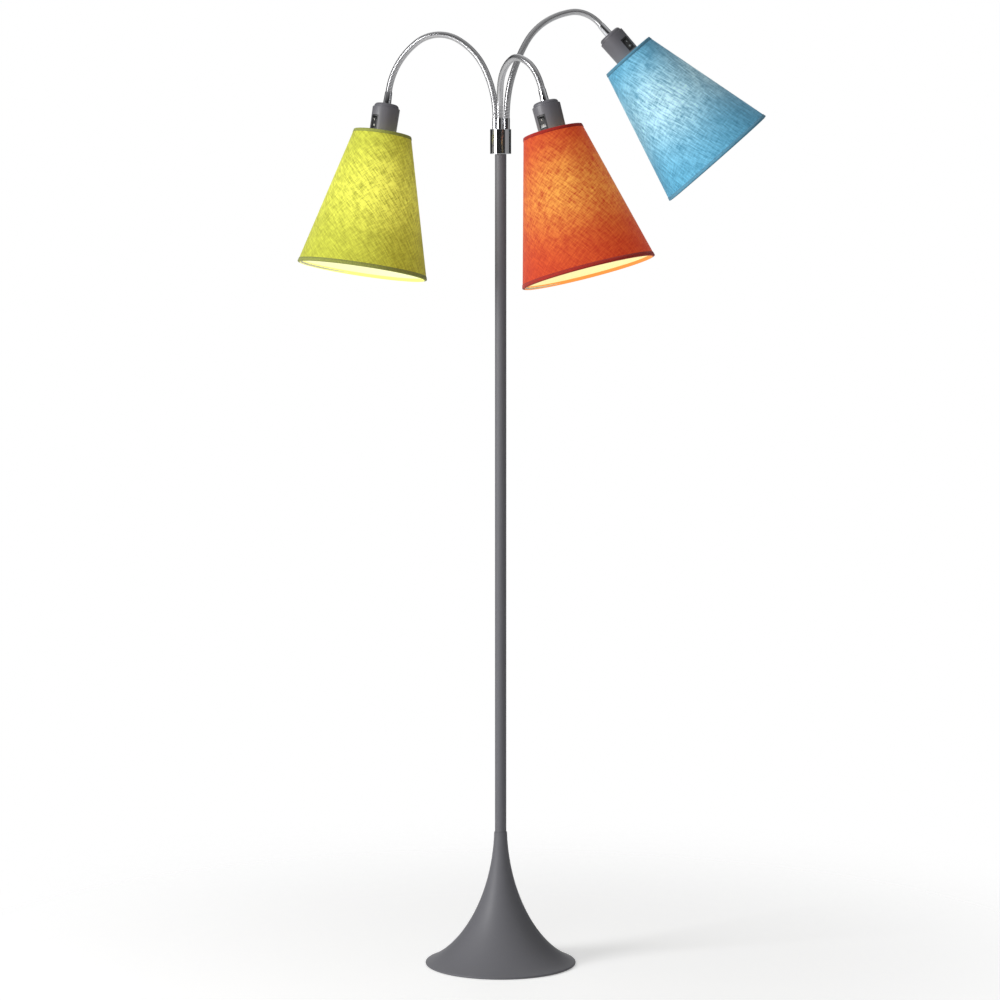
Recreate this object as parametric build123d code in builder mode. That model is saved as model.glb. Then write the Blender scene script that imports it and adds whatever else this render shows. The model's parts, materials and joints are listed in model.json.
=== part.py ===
from build123d import *
from math import atan2, cos, degrees, hypot, radians, sin, sqrt, tan
from typing import NamedTuple
import os

# A floor lamp with a trumpet foot, one pole and three ribbed flexible necks, each with a
# lampholder, a rocker switch and a conical fabric shade.
# Millimetres. The origin is on the floor at the pole's axis, +Z is up, +X is to the right
# and +Y away from someone who stands in front of the lamp.

# ---------------------------------------------------------------- driving dimensions
# Clearances
slip = 0.05                 # between a shaft and its hole, or between seated pieces
cloth_gap = 0.05            # between cloth and the wire or laminate that it covers

# Foot
foot_rim_radius = 119.4
foot_neck_radius = 10.2
foot_height = 212.0
foot_wall = 1.5
foot_rim_roll = 1.8         # radius of the rolled rim
foot_rim_lift = 0.5         # the rim clears the floor by this much
foot_rim_fall = 21.5        # slope of the skirt at the rim, degrees
foot_neck_lean = 1.9        # lean of the neck's side at its top, degrees
foot_neck_pull = 104.0      # how far the neck's straightness reaches down the curve
foot_rim_pull = 60.4        # how far the rim's slope reaches up the curve
foot_bush_height = 25.0     # bored length of the neck that holds the pole
pad_inset = 7.4             # the pad ends this far inside the rim
pad_height = 2.5
weight_height = 12.5
weight_wall_gap = 1.2       # between the weight's slope and the shell
cord_bore = 3.1             # radius of the way through the grommet
grommet_wall = 0.9
grommet_length = 20.0

# Pole and its fastening
pole_radius = 9.0
pole_wall = 1.2
pole_top = 1296.0
tie_radius = 5.0
tie_bore = 3.6
tie_height = 42.0
plug_height = 20.0
nut_flats = 17.0
nut_height = 5.0
nut_drop = 1.0              # the nut's underside is this far above the pad
washer_radius = 11.0
washer_height = 1.6
washer_play = 3.0
channel_play = 0.2          # the cord's channel is this much wider than its grommet, each side
tie_foot_gap = 0.5          # under the tie tube
plug_chamfer = 1.0

# Collar
collar_radius = 16.5
collar_wall = 1.35
collar_bottom = 1282.0
collar_height = 38.5
collar_top_plate = 8.0
collar_edge = 0.6
hub_step = 0.5              # the hub lies this far up inside the collar
hub_lip = 2.0               # the hub's lip over the pole's end
grub_radius = 2.0
ring_radius = 9.9           # circle that the three necks stand on
ferrule_radius = 5.3
ferrule_shank = 4.7         # radius of the threaded shank in the collar
ferrule_rise = 17.2         # visible height above the collar
ferrule_edge = 0.4
shank_below = 2.0           # the shank comes out under the collar's top plate
spigot_radius = 3.6         # the neck's turning spigot in the ferrule
spigot_length = 14.0

# Flexible necks
crest_radius = 5.1
valley_radius = 4.5
rib_pitch = 9.0
crest_start, crest_end, valley_start = 0.2, 0.6, 0.8    # shares of a rib's pitch
neck_bore = 3.0
wire_bore = 1.8
seat_radius = 3.5           # socket in a length's far end
nose_radius = seat_radius - slip
seat_depth = 4.6
bend_limit = 15.0           # each way at a joint between two lengths, degrees
tilt_limit = 20.0           # each way at the lampholder, degrees
end_gap = 0.1               # left between two ends at the limit

# Lampholder. Heights along a head are measured from the middle of its tilt joint.
upper_ferrule_length = 21.0
upper_ferrule_near, upper_ferrule_far = 5.75, 6.45
upper_ferrule_cone = 2.3    # length of the cone at its near end
shank_radius = 4.95
shank_length = 9.0
cap_radius = 19.1
cap_height = 6.0
cap_shoulder = 5.0
cap_wall = 2.0
cap_skirt = 7.0
body_lip = 0.6              # step between the cap's dome and its skirt
body_radius = 21.3
body_taper = 0.6            # lost by the time the body meets the shade's fitter
body_round = 1.0
body_wall = 2.2
body_well_play = 1.0        # the body's well is this much deeper than the cap's skirt
fitter_seat = 52.0          # from the cap's top to the shoulder that the fitter sits on
skirt_radius = 19.6         # threaded skirt inside the shade
skirt_length = 22.0
socket_floor = 46.0         # from the cap's top to the floor over the socket
socket_floor_height = 3.0
socket_wire_hole = 4.0
shell_radius = 14.0
shell_wall = 0.5
shell_length = 22.0
contact_width, contact_height = 7.0, 2.0

# Rocker switch
window_width = 14.5
window_top = 20.0           # from the cap's top
window_height = 23.0
frame_depth = 9.0
frame_clear = 1.6           # from the rocker's back to the bottom of its pocket
rocker_width = 9.0
rocker_side_gap = 0.2
rocker_reach = 8.4          # from the pivot to the rocker's ends
rocker_end_gap = 0.3
rocker_crown = 30.0         # angle of the outer corners above the pivot, degrees
rocker_dish = 0.9           # how far the middle of its face is hollowed
rocker_back = 2.0           # depth behind the pivot
rocker_back_half = 6.0
rocker_heel = 12.0          # angle of the ends' lower corners below the pivot, degrees
rocker_throw = 14.0         # whole swing, degrees
pivot_depth = 4.3           # below the body's surface
pivot_radius = 1.0
pivot_length = 1.5

# Shade
shade_drop = 46.0           # from the cap's top to the shade's top edge
shade_top_radius = 45.0
shade_bottom_radius = 100.0
shade_height = 216.0
shade_wall = 1.0
wire_radius = 1.4
spoke_radius = 1.2
spoke_turn = 60.0           # first spoke's place round the head from the switch, degrees
hem_height = 5.0
hem_cloth = 0.45
hem_turn = 3.4              # how far the hem turns up inside
spoke_count = 3
fitter_radius = 25.0
fitter_height = 1.5
ring_flange_radius = 27.0
ring_flange_height = 2.0
ring_grip_radius = 24.0
ring_height = 10.0
flute_count = 12
flute_radius = 2.0

# Bulb
bulb_radius = 30.0
bulb_neck_radius = 13.0
bulb_flare = 40.0
glass_wall = 1.0
bulb_cap_radius = 13.2
bulb_cap_wall = 0.6
bulb_cap_length = 24.0
contact_cone = 3.0
contact_radius = 5.0
bulb_shoulder = 2.0         # straight neck of glass below the cap
glass_in_cap = 3.0
glass_seat = 0.5            # the glass neck is this much smaller than its nominal radius


class Arm(NamedTuple):
    """One flexible arm, as it is bent in the photograph."""
    name: str
    foot_angle: float       # where its ferrule stands on the collar, degrees from +X
    lean_angle: float       # the way it first leans, degrees from +X
    lengths: tuple          # the four lengths of neck, along the centre line
    bends: tuple            # how far each length curls, degrees
    twists: tuple           # turn of the bending plane before each length, degrees
    switch_faces: tuple     # the way the switch looks


arms = (
    Arm("left", 141, 185, (80, 61, 68, 89), (26, 34, 68, 45), (0, -8, 0, 14), (-0.73, -0.68, 0)),
    Arm("front", 261, 272, (56, 132, 58, 54), (62, 23, 34, 56), (0, 33, -1, -19), (-0.59, -0.81, 0)),
    Arm("right", 21, 61, (68, 68, 107, 55), (31, 13, 43, 64), (0, -21, -22, 3), (0.47, -0.78, 0.41)),
)

# ---------------------------------------------------------------- worked out from those
collar_top = collar_bottom + collar_height
ferrule_top = collar_top + ferrule_rise
pad_radius = foot_rim_radius - pad_inset
weight_top = pad_height + weight_height
cord_height = pad_height + slip + cord_bore + grommet_wall
pivot_height = body_radius - pivot_depth
bend_gap = 2 * valley_radius * tan(radians(bend_limit / 2)) + end_gap
tilt_gap = 2 * valley_radius * tan(radians(tilt_limit / 2)) + end_gap
cap_top = upper_ferrule_length
shade_top = cap_top + shade_drop
shade_slope = atan2(shade_bottom_radius - shade_top_radius, shade_height)
socket_mouth = cap_top + fitter_seat + skirt_length
bulb_foot = cap_top + socket_floor + socket_floor_height + contact_height + 2 * slip

os.makedirs("parts", exist_ok=True)


def keep(piece, name):
    """Label a finished piece and write it."""
    piece.part.label = name
    export_step(piece.part, f"parts/{name}.step")


def turned(plane, angle):
    """A plane turned about its own Z axis, by an angle in degrees."""
    swing = radians(angle)
    return Plane(plane.origin, x_dir=plane.x_dir * cos(swing) + plane.y_dir * sin(swing),
                 z_dir=plane.z_dir)


def outline(plane, *corners):
    """A closed outline on a plane, from (across, along, corner radius) points."""
    with BuildSketch(plane) as face:
        with BuildLine():
            FilletPolyline(*[(x, y) for x, y, _ in corners], radius=[r for _, _, r in corners],
                           close=True)
        make_face()
    return face.sketch


# ---------------------------------------------------------------- foot
def foot_curve(inset):
    """Control points of the trumpet's side from neck to rim, moved inwards by inset."""
    lean, fall = radians(foot_neck_lean), radians(foot_rim_fall)
    reach = foot_rim_roll - inset
    rim = (foot_rim_radius - foot_rim_roll + reach * sin(fall),
           foot_rim_lift + foot_rim_roll + reach * cos(fall))
    neck = (foot_neck_radius - inset, foot_height)
    below_neck = (neck[0] + foot_neck_pull * sin(lean), neck[1] - foot_neck_pull * cos(lean))
    above_rim = (rim[0] - foot_rim_pull * cos(fall), rim[1] + foot_rim_pull * sin(fall))
    return neck, below_neck, above_rim, rim


with BuildPart() as foot_hollow:
    with BuildSketch(Plane.XZ):
        with BuildLine():
            inside = Bezier(*foot_curve(foot_wall))
            lip = Line(inside @ 1, (foot_rim_radius - 2 * foot_rim_roll, foot_rim_lift))
            Polyline(lip @ 1, (0, foot_rim_lift), (0, foot_height), inside @ 0)
        make_face()
    revolve(axis=Axis.Z)
    split(bisect_by=Plane.XY.offset(foot_height - foot_bush_height), keep=Keep.BOTTOM)

with BuildPart() as base_shell:
    with BuildSketch(Plane.XZ):
        with BuildLine():
            outside = Bezier(*foot_curve(0))
            roll = JernArc(outside @ 1, outside % 1, foot_rim_roll, foot_rim_fall - 180)
            Polyline(roll @ 1, (0, foot_rim_lift), (0, foot_height), outside @ 0)
        make_face()
    revolve(axis=Axis.Z)
    add(foot_hollow.part, mode=Mode.SUBTRACT)
    with BuildSketch():
        Circle(pole_radius + slip)
    extrude(amount=foot_height, mode=Mode.SUBTRACT)
    with BuildSketch(Plane.XZ.offset(-foot_rim_radius)):
        with Locations((0, cord_height)):
            Circle(cord_bore + grommet_wall + slip)
    extrude(amount=grommet_length, mode=Mode.SUBTRACT)
keep(base_shell, "base_shell")

with BuildPart() as base_pad:
    with BuildSketch():
        Circle(pad_radius)
    extrude(amount=pad_height)
keep(base_pad, "base_pad")

recess_top = pad_height + nut_height + washer_height + nut_drop
with BuildPart() as base_weight:
    with BuildSketch(Plane.XZ):
        with BuildLine():
            slope = Bezier(*foot_curve(foot_wall + weight_wall_gap))
            Polyline(slope @ 1, (0, (slope @ 1).Y), (0, foot_height), slope @ 0)
        make_face()
    revolve(axis=Axis.Z)
    split(bisect_by=Plane.XY.offset(weight_top), keep=Keep.BOTTOM)
    split(bisect_by=Plane.XY.offset(pad_height), keep=Keep.TOP)
    with BuildSketch():
        Circle(tie_radius + slip)
    extrude(amount=foot_height, mode=Mode.SUBTRACT)
    with BuildSketch():
        Circle(washer_radius + washer_play)
    extrude(amount=recess_top, mode=Mode.SUBTRACT)
    with BuildSketch():
        Rectangle(2 * (cord_bore + grommet_wall + channel_play), foot_rim_radius,
                  align=(Align.CENTER, Align.MIN))
    extrude(amount=cord_height + cord_bore + grommet_wall + channel_play, mode=Mode.SUBTRACT)
keep(base_weight, "base_weight")

with BuildPart() as tie_nut:
    with BuildSketch(Plane.XY.offset(recess_top - washer_height)):
        Circle(washer_radius)
        Circle(tie_radius + slip, mode=Mode.SUBTRACT)
    extrude(amount=washer_height)
    with BuildSketch(Plane.XY.offset(recess_top - washer_height - slip)):
        RegularPolygon(nut_flats / 2, 6, major_radius=False)
        Circle(tie_radius + slip, mode=Mode.SUBTRACT)
    extrude(amount=-nut_height)
keep(tie_nut, "tie_nut")

with BuildPart() as tie_tube:
    with BuildSketch(Plane.XY.offset(pad_height + tie_foot_gap)):
        Circle(tie_radius)
        Circle(tie_bore, mode=Mode.SUBTRACT)
    extrude(amount=tie_height)
keep(tie_tube, "tie_tube")

with BuildPart() as cord_grommet:
    with BuildSketch(Plane.XZ.offset(-foot_rim_radius)):
        with Locations((0, cord_height)):
            Circle(cord_bore + grommet_wall)
    extrude(amount=grommet_length)
    fillet(cord_grommet.faces().sort_by(Axis.Y)[-1].edges(), grommet_wall / 2)
    with BuildSketch(Plane.XZ.offset(-foot_rim_radius)):
        with Locations((0, cord_height)):
            Circle(cord_bore)
    extrude(amount=grommet_length, mode=Mode.SUBTRACT)
keep(cord_grommet, "cord_grommet")

# ---------------------------------------------------------------- pole and collar
pole_bore = pole_radius - pole_wall
with BuildPart() as pole:
    with BuildSketch(Plane.XY.offset(weight_top)):
        Circle(pole_radius)
        Circle(pole_bore, mode=Mode.SUBTRACT)
    extrude(amount=pole_top - weight_top)
keep(pole, "pole")

with BuildPart() as pole_plug:
    with BuildSketch(Plane.XY.offset(weight_top + slip)):
        Circle(pole_bore - slip)
        Circle(tie_radius + slip, mode=Mode.SUBTRACT)
    extrude(amount=plug_height)
    chamfer(pole_plug.faces().sort_by(Axis.Z)[-1].outer_wire().edges(), plug_chamfer)
keep(pole_plug, "pole_plug")

grub_height = (collar_bottom + hub_step + pole_top) / 2
with BuildPart() as pole_hub:
    with BuildSketch(Plane.XY.offset(collar_bottom + hub_step)):
        Circle(collar_radius - collar_wall - slip)
    extrude(amount=pole_top + hub_lip - collar_bottom - hub_step)
    with BuildSketch(Plane.XY.offset(collar_bottom)):
        Circle(pole_radius + slip)
    extrude(amount=pole_top + slip - collar_bottom, mode=Mode.SUBTRACT)
    with BuildSketch(Plane.XY.offset(collar_bottom)):
        Circle(pole_bore)
    extrude(amount=collar_height, mode=Mode.SUBTRACT)
    with BuildSketch(Plane.XZ.offset(-collar_radius)):
        with Locations((0, grub_height)):
            Circle(grub_radius + slip)
    extrude(amount=collar_radius - pole_radius, mode=Mode.SUBTRACT)
keep(pole_hub, "pole_hub")

feet = [Vector(ring_radius, 0, collar_top).rotate(Axis.Z, arm.foot_angle) for arm in arms]

with BuildPart() as collar:
    with BuildSketch(Plane.XY.offset(collar_bottom)):
        Circle(collar_radius)
    extrude(amount=collar_height)
    chamfer(collar.faces().sort_by(Axis.Z)[0].edges(), collar_edge)
    fillet(collar.faces().sort_by(Axis.Z)[-1].edges(), collar_edge)
    with BuildSketch(Plane.XY.offset(collar_bottom)):
        Circle(collar_radius - collar_wall)
    extrude(amount=collar_height - collar_top_plate, mode=Mode.SUBTRACT)
    with BuildSketch(Plane.XY.offset(collar_top)):
        with Locations(*[(foot.X, foot.Y) for foot in feet]):
            Circle(ferrule_shank + slip)
    extrude(amount=-collar_top_plate, mode=Mode.SUBTRACT)
    with BuildSketch(Plane.XZ.offset(-collar_radius)):
        with Locations((0, grub_height)):
            Circle(grub_radius + slip)
    extrude(amount=2 * collar_wall, mode=Mode.SUBTRACT)
keep(collar, "collar")

with BuildPart() as collar_screw:
    with BuildSketch(Plane.XZ.offset(-pole_radius - slip)):
        with Locations((0, grub_height)):
            Circle(grub_radius)
    extrude(amount=-(collar_radius - pole_radius - 2 * slip))
    with BuildSketch(Plane.XZ.offset(-collar_radius)):
        with Locations((0, grub_height)):
            RegularPolygon(grub_radius / 2, 6)
    extrude(amount=grub_radius, mode=Mode.SUBTRACT)
keep(collar_screw, "collar_screw")

with BuildPart() as lower_ferrules:
    with BuildSketch(Plane.XY.offset(collar_top - collar_top_plate - shank_below)):
        with Locations(*[(foot.X, foot.Y) for foot in feet]):
            Circle(ferrule_shank)
    extrude(amount=collar_top_plate + shank_below)
    with BuildSketch(Plane.XY.offset(collar_top)):
        with Locations(*[(foot.X, foot.Y) for foot in feet]):
            Circle(ferrule_radius)
    extrude(amount=ferrule_rise)
    chamfer(lower_ferrules.faces().group_by(Axis.Z)[-1].edges(), ferrule_edge)
    with BuildSketch(Plane.XY.offset(collar_top - collar_top_plate - shank_below)):
        with Locations(*[(foot.X, foot.Y) for foot in feet]):
            Circle(spigot_radius + slip)
    extrude(amount=collar_height, mode=Mode.SUBTRACT)
keep(lower_ferrules, "lower_ferrules")


# ---------------------------------------------------------------- flexible necks
def curl(start, radius, distance):
    """The plane square to a neck's centre line, some way along its arc from start."""
    angle = distance / radius
    heading = start.z_dir * cos(angle) + start.x_dir * sin(angle)
    inward = start.x_dir * cos(angle) - start.z_dir * sin(angle)
    middle = start.origin + start.x_dir * radius
    return Plane(middle - inward * radius, x_dir=inward, z_dir=heading)


def neck_length(start, length, bend, near, far):
    """One ribbed length of neck on its arc, from near after one joint to far before the next."""
    radius = length / radians(bend)
    ribs = round((length - near - far) / rib_pitch)
    pitch = (length - near - far) / ribs
    tip = curl(start, radius, length)

    def ring_plane(distance):
        """The plane of a rib's circle, with its X axis held steady along the neck."""
        here = curl(start, radius, distance)
        return Plane(here.origin, x_dir=start.y_dir, z_dir=here.z_dir)

    with BuildPart() as neck:
        for rib in range(ribs):
            for share, rib_radius in ((0, valley_radius), (crest_start, crest_radius),
                                      (crest_end, crest_radius), (valley_start, valley_radius)):
                with BuildSketch(ring_plane(near + (rib + share) * pitch)):
                    Circle(rib_radius)
        with BuildSketch(ring_plane(length - far)):
            Circle(valley_radius)
        loft(ruled=True)
        if near < bend_gap / 2:
            with BuildSketch(start.offset(-spigot_length)):
                Circle(spigot_radius)
            extrude(amount=spigot_length + seat_depth)
            with BuildSketch(start.offset(-spigot_length)):
                Circle(wire_bore)
            extrude(amount=spigot_length + seat_depth, mode=Mode.SUBTRACT)
        else:
            with Locations(start.location):
                Sphere(nose_radius)
            with BuildSketch(start.offset(-seat_depth)):
                Circle(wire_bore)
            extrude(amount=2 * seat_depth, mode=Mode.SUBTRACT)
        start_angle = degrees(seat_depth / radius)
        with BuildLine(Plane(start.origin, x_dir=start.x_dir, z_dir=-start.y_dir)) as bore_path:
            CenterArc((radius, 0), radius, 180 - start_angle, start_angle - bend)
        with BuildSketch(ring_plane(seat_depth)):
            Circle(neck_bore)
        sweep(path=bore_path.line, mode=Mode.SUBTRACT)
        with BuildSketch(tip.offset(-seat_depth)):
            Circle(seat_radius)
        extrude(amount=seat_depth, mode=Mode.SUBTRACT)
    return neck, tip


# ---------------------------------------------------------------- lampholders
def side(head):
    """A head's lengthways section: X outwards to the switch, Y down the head."""
    return Plane(head.origin, x_dir=head.x_dir, z_dir=-head.y_dir)


def spin(head):
    """A head's own axis."""
    return Axis(head.origin, head.z_dir)


def make_upper_ferrule(head):
    """Tapered sleeve on the neck's end, with the ball nose that the tilt turns on."""
    near = tilt_gap / 2
    with BuildPart() as ferrule:
        revolve(outline(side(head), (0, near, 0), (valley_radius, near, 0),
                        (upper_ferrule_near, near + upper_ferrule_cone, 0),
                        (upper_ferrule_far, cap_top, 0), (shank_radius, cap_top, 0),
                        (shank_radius, cap_top + shank_length, 0), (0, cap_top + shank_length, 0)),
                axis=spin(head))
        with Locations(head.location):
            Sphere(nose_radius)
        with BuildSketch(head.offset(-seat_depth)):
            Circle(wire_bore)
        extrude(amount=seat_depth + cap_top + shank_length, mode=Mode.SUBTRACT)
        with BuildSketch(head.offset(seat_depth)):
            Circle(neck_bore)
        extrude(amount=cap_top + shank_length, mode=Mode.SUBTRACT)
    return ferrule


def make_holder_cap(head):
    """Domed cap that closes the lampholder over the switch."""
    inner = cap_radius - cap_wall
    hole = shank_radius + slip
    skirt = cap_radius - body_lip
    end = cap_top + cap_height + cap_skirt
    with BuildPart() as cap:
        revolve(outline(side(head), (hole, cap_top + slip, 0), (cap_radius, cap_top + slip, cap_shoulder),
                        (cap_radius, cap_top + cap_height, 0), (skirt, cap_top + cap_height, 0),
                        (skirt, end, 0), (inner - body_lip, end, 0),
                        (inner - body_lip, cap_top + cap_wall, cap_shoulder - cap_wall),
                        (hole, cap_top + cap_wall, 0)), axis=spin(head))
    return cap


def make_holder_body(head):
    """Housing: switch space above, socket below, with the threaded skirt for the shade ring."""
    top = cap_top + cap_height + slip
    seat = cap_top + fitter_seat
    floor = cap_top + socket_floor
    well = cap_radius - body_lip + slip
    well_end = top + cap_skirt + body_well_play
    inner = body_radius - body_taper - body_wall
    with BuildPart() as body:
        revolve(outline(side(head), (well, top, 0), (body_radius, top, body_round),
                        (body_radius - body_taper, seat, 0), (skirt_radius, seat, 0),
                        (skirt_radius, socket_mouth, 0), (shell_radius + slip, socket_mouth, 0),
                        (shell_radius + slip, floor + socket_floor_height, 0),
                        (socket_wire_hole, floor + socket_floor_height, 0),
                        (socket_wire_hole, floor, 0), (inner, floor, 0),
                        (inner, well_end, 0),
                        (well, well_end, 0)), axis=spin(head))
        with BuildSketch(window_plane(head)):
            Rectangle(window_height, window_width)
        extrude(amount=body_radius, mode=Mode.SUBTRACT)
    return body


def window_plane(head):
    """On the head's axis at the middle of the switch's window, X down the head, Z outwards."""
    middle = head.origin + head.z_dir * (cap_top + window_top + window_height / 2)
    return Plane(middle, x_dir=head.z_dir, z_dir=head.x_dir)


def make_switch_frame(head):
    """Black frame that fills the window flush with the housing, with the rocker's pocket."""
    window = window_plane(head)
    face = body_radius - body_taper / 2
    pocket = pivot_height - rocker_back - frame_clear
    with BuildPart() as frame:
        with BuildSketch(window.offset(face - frame_depth)):
            Rectangle(window_height - 2 * slip, window_width - 2 * slip)
        extrude(amount=frame_depth)
        with BuildSketch(head):
            Circle(face)
        extrude(amount=socket_mouth, mode=Mode.INTERSECT)
        with BuildSketch(window.offset(pocket)):
            Rectangle(2 * (rocker_reach + rocker_end_gap), rocker_width + 2 * rocker_side_gap)
        extrude(amount=body_radius, mode=Mode.SUBTRACT)
        with BuildSketch(pivot_plane(head, 0)):
            Circle(pivot_radius + slip)
        extrude(amount=rocker_width / 2 + pivot_length + slip, both=True, mode=Mode.SUBTRACT)
    return frame


def pivot_plane(head, swing):
    """On the rocker's pivot, X down the head, Y outwards, turned by the rocker's swing."""
    window = window_plane(head)
    straight = Plane(window.origin + window.z_dir * pivot_height, x_dir=window.x_dir,
                     z_dir=-window.y_dir)
    return turned(straight, swing)


def make_rocker(head):
    """Rocker at one end of its throw, with ends that are arcs about its pivot."""
    plane = pivot_plane(head, -rocker_throw / 2)
    crown, heel = radians(rocker_crown), radians(rocker_heel)
    top_x, top_y = rocker_reach * cos(crown), rocker_reach * sin(crown)
    low_x, low_y = rocker_reach * cos(heel), -rocker_reach * sin(heel)
    with BuildPart() as rocker:
        with BuildSketch(plane):
            with BuildLine():
                dish = ThreePointArc((-top_x, top_y), (0, top_y - rocker_dish), (top_x, top_y))
                right = ThreePointArc(dish @ 1, (rocker_reach, 0), (low_x, low_y))
                Polyline(right @ 1, (rocker_back_half, -rocker_back),
                         (-rocker_back_half, -rocker_back), (-low_x, low_y))
                ThreePointArc((-low_x, low_y), (-rocker_reach, 0), dish @ 0)
            make_face()
        extrude(amount=rocker_width / 2, both=True)
        with BuildSketch(plane):
            Circle(pivot_radius)
        extrude(amount=rocker_width / 2 + pivot_length, both=True)
    return rocker


def make_screw_shell(head):
    """Brass screw shell, and the centre contact on the socket's floor."""
    floor = cap_top + socket_floor + socket_floor_height
    mouth = floor + shell_length
    with BuildPart() as shell:
        revolve(outline(side(head), (shell_radius - shell_wall, floor + slip, 0),
                        (shell_radius, floor + slip, 0), (shell_radius, mouth, 0),
                        (shell_radius - shell_wall, mouth, 0)), axis=spin(head))
        with BuildSketch(head.offset(floor + slip)):
            SlotOverall(2 * contact_width, contact_width)
        extrude(amount=contact_height)
    return shell


def make_shade_ring(head):
    """Threaded ring under the shade's fitter, with a fluted grip."""
    top = cap_top + fitter_seat + fitter_height + 2 * slip
    with BuildPart() as ring:
        with BuildSketch(head.offset(top)):
            Circle(ring_flange_radius)
        extrude(amount=ring_flange_height)
        with BuildSketch(head.offset(top + ring_flange_height)):
            Circle(ring_grip_radius)
            with PolarLocations(ring_grip_radius + flute_radius / 2, flute_count):
                Circle(flute_radius, mode=Mode.SUBTRACT)
        extrude(amount=ring_height - ring_flange_height)
        with BuildSketch(head.offset(top)):
            Circle(skirt_radius + slip)
        extrude(amount=ring_height, mode=Mode.SUBTRACT)
    return ring


# ---------------------------------------------------------------- shades
def wall_point(height, inward):
    """(radius, place) on the shade: height down its slope, inward from its outer face."""
    return (shade_top_radius + height * sin(shade_slope) - inward * cos(shade_slope),
            shade_top + height * cos(shade_slope) + inward * sin(shade_slope))


shade_slant = hypot(shade_height, shade_bottom_radius - shade_top_radius)
wire_inset = shade_wall + cloth_gap + wire_radius


def spoke_ends(head, spoke):
    """Where a spoke meets the fitter, and where it meets the top wire."""
    radial = side(turned(head, spoke_turn + spoke * 360 / spoke_count))
    fitter_foot = cap_top + fitter_seat + slip + fitter_height
    inner = (fitter_radius - wire_radius, fitter_foot - spoke_radius - 2 * slip)
    return radial.from_local_coords(inner), radial.from_local_coords(wall_point(wire_radius, wire_inset))


def make_shade(head):
    """The cone of laminated cloth."""
    with BuildPart() as shade:
        corners = [wall_point(h, i) for h, i in
                   ((0, 0), (shade_slant, 0), (shade_slant, shade_wall), (0, shade_wall))]
        revolve(outline(side(head), *[(r, z, 0) for r, z in corners]), axis=spin(head))
    return shade


def make_shade_hems(head):
    """Cloth tapes folded over the rims: outside, round the edge and up behind the wire."""
    reach = shade_wall + 2 * wire_radius + 2 * cloth_gap
    outside = -cloth_gap - hem_cloth
    section = ((hem_height, outside), (-hem_cloth - cloth_gap, outside),
               (-hem_cloth - cloth_gap, reach + hem_cloth), (hem_turn, reach + hem_cloth),
               (hem_turn, reach), (-cloth_gap, reach), (-cloth_gap, -cloth_gap),
               (hem_height, -cloth_gap))
    with BuildPart() as hems:
        top_hem = [wall_point(h, i) for h, i in section]
        bottom_hem = [wall_point(shade_slant - h, i) for h, i in section]
        for hem in (top_hem, bottom_hem):
            revolve(outline(side(head), *[(r, z, 0) for r, z in hem]), axis=spin(head))
        for spoke in range(spoke_count):
            inner, outer = spoke_ends(head, spoke)
            with BuildSketch(Plane(outer, z_dir=inner - outer)):
                Circle(spoke_radius + cloth_gap)
            extrude(amount=reach + hem_turn, mode=Mode.SUBTRACT)
    return hems


def make_shade_frame(head):
    """Rim wires, the flat fitter ring and the spokes that join it to the top wire."""
    with BuildPart() as frame:
        for wire in (wire_radius, shade_slant - wire_radius):
            with BuildSketch(side(head)):
                with Locations(wall_point(wire, wire_inset)):
                    Circle(wire_radius)
            revolve(axis=spin(head))
        with BuildSketch(head.offset(cap_top + fitter_seat + slip)):
            Circle(fitter_radius)
            Circle(skirt_radius + slip, mode=Mode.SUBTRACT)
        extrude(amount=fitter_height)
        for spoke in range(spoke_count):
            inner, outer = spoke_ends(head, spoke)
            with BuildSketch(Plane(inner, z_dir=outer - inner)):
                Circle(spoke_radius)
            extrude(amount=(outer - inner).length)
    return frame


# ---------------------------------------------------------------- bulbs
def bulb_outline(head, inset):
    """Half section of the glass, its pear shape moved inwards by inset."""
    neck_end = bulb_foot + bulb_cap_length + bulb_shoulder
    ball_drop = sqrt((bulb_flare + bulb_radius) ** 2 - (bulb_flare + bulb_neck_radius) ** 2)
    ball = bulb_radius - inset
    flare = bulb_flare + inset
    across = bulb_flare + bulb_neck_radius
    share = ball / (bulb_flare + bulb_radius)
    touch = (across * share, neck_end + ball_drop * (1 - share))
    toward = degrees(atan2(ball_drop, across))
    with BuildSketch(side(head)) as half:
        with BuildLine():
            foot = (bulb_neck_radius - inset, bulb_foot + bulb_cap_length - glass_in_cap)
            neck = Line(foot, (bulb_neck_radius - inset, neck_end))
            CenterArc((across, neck_end), flare, 180, -toward)
            CenterArc((0, neck_end + ball_drop), ball, -toward, toward + 90)
            Polyline((0, neck_end + ball_drop + ball), (0, foot[1]), foot)
        make_face()
    return half.sketch


def make_bulb(head):
    """Pear-shaped glass envelope, open inside."""
    with BuildPart() as bulb:
        revolve(bulb_outline(head, glass_seat), axis=spin(head))
        revolve(bulb_outline(head, glass_seat + glass_wall), axis=spin(head), mode=Mode.SUBTRACT)
    return bulb


def make_bulb_cap(head):
    """The bulb's screw cap with its contact cone."""
    shoulder = bulb_foot + contact_cone
    mouth = bulb_foot + bulb_cap_length
    with BuildPart() as cap:
        revolve(outline(side(head), (0, bulb_foot, 0), (contact_radius, bulb_foot, 0),
                        (bulb_cap_radius - contact_cone, shoulder, 0),
                        (bulb_cap_radius, shoulder + contact_cone, 0), (bulb_cap_radius, mouth, 0),
                        (bulb_cap_radius - bulb_cap_wall, mouth, 0),
                        (bulb_cap_radius - bulb_cap_wall, shoulder + contact_cone, 0),
                        (0, shoulder + contact_cone, 0)), axis=spin(head))
    return cap


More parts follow.
